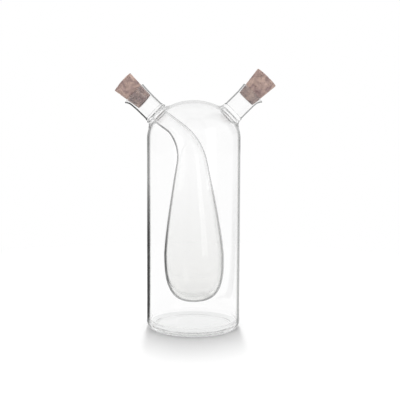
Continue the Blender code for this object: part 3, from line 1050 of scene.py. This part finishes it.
class BuildBody(bpy.types.Operator):
    """Blow the domed body with its flat base and draw up a collar at each port"""

    bl_idname = "bottle.build_body"
    bl_label = "Outer Body"

    def execute(self, context):
        body = context.scene.bottle_body
        radius = body.diameter / 2
        outer = vessel_profile(radius, 0.0, body.dome_rise, body.heel)
        inner = vessel_profile(radius - body.wall, body.base, body.dome_rise - body.wall, body.inner_heel)
        heel_row = next(row for row, point in enumerate(outer) if point[1] < body.heel * HEEL_SHARE)
        coats = [(0, body_glass()), (heel_row, heel_glass())]
        outside = turned("outside", outer, BODY_SIDES, coats=coats)
        inside = turned("inside", inner, BODY_SIDES, coats=[(0, bore_glass())])
        steps = [("UNION", collar(spout)) for spout in SPOUTS]
        steps.append(("DIFFERENCE", inside))
        steps += [("DIFFERENCE", bore(spout)) for spout in SPOUTS]
        place("body_glass", combine(outside, steps), "outer_body", GLASS_BODY)
        return {"FINISHED"}


class BuildFlask(bpy.types.Operator):
    """Blow the drop shaped flask along its bent centreline and end it in a sealing ring"""

    bl_idname = "bottle.build_flask"
    bl_label = "Vinegar Flask"

    def execute(self, context):
        flask = context.scene.bottle_flask
        route, whole = flask_route()
        stem_end = (whole - flask.ring_thickness / 2, flask.stem_diameter / 2)
        outer = flask_rings(whole, 0.0, 0.0) + [stem_end]
        inner = flask_rings(whole, flask.wall, flask.bottom) + flare_rings(whole)
        outside = blown("flask_outside", outer, route, flask_glass())
        inside = blown("flask_inside", inner, route, bore_glass())
        mesh = combine(outside, [("UNION", sealing_ring()), ("DIFFERENCE", inside)])
        place("flask_glass", mesh, "inner_flask", GLASS_BODY)
        return {"FINISHED"}


class BuildNecks(bpy.types.Operator):
    """Make both necks, each with a thickened foot, a round rim and a pouring lip"""

    bl_idname = "bottle.build_necks"
    bl_label = "Necks"

    def execute(self, context):
        for spout in SPOUTS:
            depth, taper, tilt = cork_fit(spout)
            flare = depth * max(math.tan(taper) - math.sin(abs(tilt)), 0.0)
            profile, bore_row = neck_profile(depth, flare)
            coats = [(0, neck_glass()), (bore_row - 1, seam_glass()), (bore_row, bore_glass())]
            name = spout + "_neck_glass"
            mesh = turned(name, profile, NECK_SIDES, closed=True, coats=coats)
            pull_lip(mesh)
            mesh.transform(port_matrix(spout))
            place(name, mesh, spout + "_neck", GLASS_BODY)
        return {"FINISHED"}


class BuildCorks(bpy.types.Operator):
    """Grind both tapered corks and sink the pores into their sides"""

    bl_idname = "bottle.build_corks"
    bl_label = "Corks"

    def execute(self, context):
        corks, necks = context.scene.bottle_corks, context.scene.bottle_necks
        cork = material("ground_natural_cork", cork_surface)
        inputs = {"Pit Depth": corks.pit_depth, "Material": cork}
        for number, spout in enumerate(SPOUTS):
            depth, taper, tilt = cork_fit(spout)
            end_radius = neck_bore_radius() - FIT_GAP - CORK_TRIM - depth * math.sin(abs(tilt))
            blank = turned(spout + "_blank", cork_profile(end_radius, taper, depth), CORK_SIDES)
            shift = Vector((BARK_SPACING * number, BARK_DEPTH, 0.0))
            bark = blank.attributes.new("cork_place", "FLOAT_VECTOR", "POINT")
            bark.data.foreach_set("vector", [x for vertex in blank.vertices for x in vertex.co + shift])
            mesh = through_tree(blank, "cork_pores", pitted_tree, inputs)
            mouth = port_matrix(spout) @ Matrix.Translation((0.0, 0.0, necks.reach))
            mesh.transform(mouth @ Matrix.Rotation(tilt, 4, "Y"))
            place(spout + "_cork_solid", mesh, spout + "_cork", spout + "_cork")
        return {"FINISHED"}


def hang_lamp(name, size, spot, in_glass, watts):
    """Hangs a rectangular lamp that the camera doesn't see, aimed at the middle of the bottle."""
    data = bpy.data.lights.new(name, "AREA")
    data.shape = "RECTANGLE"
    data.size, data.size_y = size
    data.energy = watts
    lamp = bpy.data.objects.new(name, data)
    bpy.context.scene.collection.objects.link(lamp)
    middle = Vector((0.0, 0.0, bpy.context.scene.bottle_body.height / 2))
    lamp.location = spot
    lamp.rotation_euler = (middle - Vector(spot)).to_track_quat("-Z", "Y").to_euler()
    lamp.visible_camera = False
    lamp.visible_transmission = in_glass
    lamp.visible_glossy = in_glass


class BuildStudio(bpy.types.Operator):
    """Lay the white floor, hang the lights and set up the camera"""

    bl_idname = "bottle.build_studio"
    bl_label = "Studio"

    def execute(self, context):
        scene = context.scene
        studio = scene.bottle_studio
        scene.view_settings.view_transform = "Standard"
        for kind in ("max_bounces", "transmission_bounces", "glossy_bounces", "transparent_max_bounces"):
            setattr(scene.cycles, kind, BOUNCES)
        scene.world = studio_world()
        mesh = bpy.data.meshes.new("floor")
        corners = [(-1, -1), (1, -1), (1, 1), (-1, 1)]
        points = [(x * FLOOR_REACH, y * FLOOR_REACH, -FLOOR_DROP) for x, y in corners]
        mesh.from_pydata(points, [], [(0, 1, 2, 3)])
        mesh.materials.append(material("white_laminate", floor_surface))
        link_mesh("floor", mesh)
        for name, size, spot, in_glass in LAMPS:
            hang_lamp(name, size, spot, in_glass, getattr(studio, name))
        data = bpy.data.cameras.new("camera")
        data.sensor_width = SENSOR_WIDTH
        data.lens = LENS
        data.shift_x, data.shift_y = SHIFT
        camera = bpy.data.objects.new("camera", data)
        scene.collection.objects.link(camera)
        camera.matrix_world = (
            Matrix.Translation((0.0, -studio.distance, studio.eye_height))
            @ Matrix.Rotation(math.pi / 2 - studio.down, 4, "X")
            @ Matrix.Rotation(studio.roll, 4, "Z")
        )
        scene.camera = camera
        return {"FINISHED"}


class BottlePanel(bpy.types.Panel):
    """Sizes, colours and build buttons of the bottle"""

    bl_idname = "VIEW3D_PT_bottle"
    bl_label = "Oil and Vinegar Bottle"
    bl_space_type = "VIEW_3D"
    bl_region_type = "UI"
    bl_category = "Bottle"

    def draw(self, context):
        for name in GROUPS:
            group = getattr(context.scene, name)
            box = self.layout.box()
            for key in group.bl_rna.properties.keys():
                if key not in ("rna_type", "name"):
                    box.prop(group, key)
        for operator in OPERATORS:
            self.layout.operator(operator.bl_idname)


GROUPS = {
    "bottle_body": BodySizes,
    "bottle_necks": NeckSizes,
    "bottle_flask": FlaskSizes,
    "bottle_corks": CorkSizes,
    "bottle_finishes": Finishes,
    "bottle_studio": StudioSizes,
}
OPERATORS = (BuildBody, BuildFlask, BuildNecks, BuildCorks, BuildStudio)
CLASSES = (*GROUPS.values(), *OPERATORS, BottlePanel)


def register():
    for cls in CLASSES:
        bpy.utils.register_class(cls)
    for name, group in GROUPS.items():
        setattr(bpy.types.Scene, name, bpy.props.PointerProperty(type=group))


def unregister():
    for name in GROUPS:
        delattr(bpy.types.Scene, name)
    for cls in reversed(CLASSES):
        bpy.utils.unregister_class(cls)


def main():
    register()
    bpy.ops.bottle.build_body()
    bpy.ops.bottle.build_flask()
    bpy.ops.bottle.build_necks()
    bpy.ops.bottle.build_corks()
    bpy.ops.bottle.build_studio()


if __name__ == "__main__":
    main()
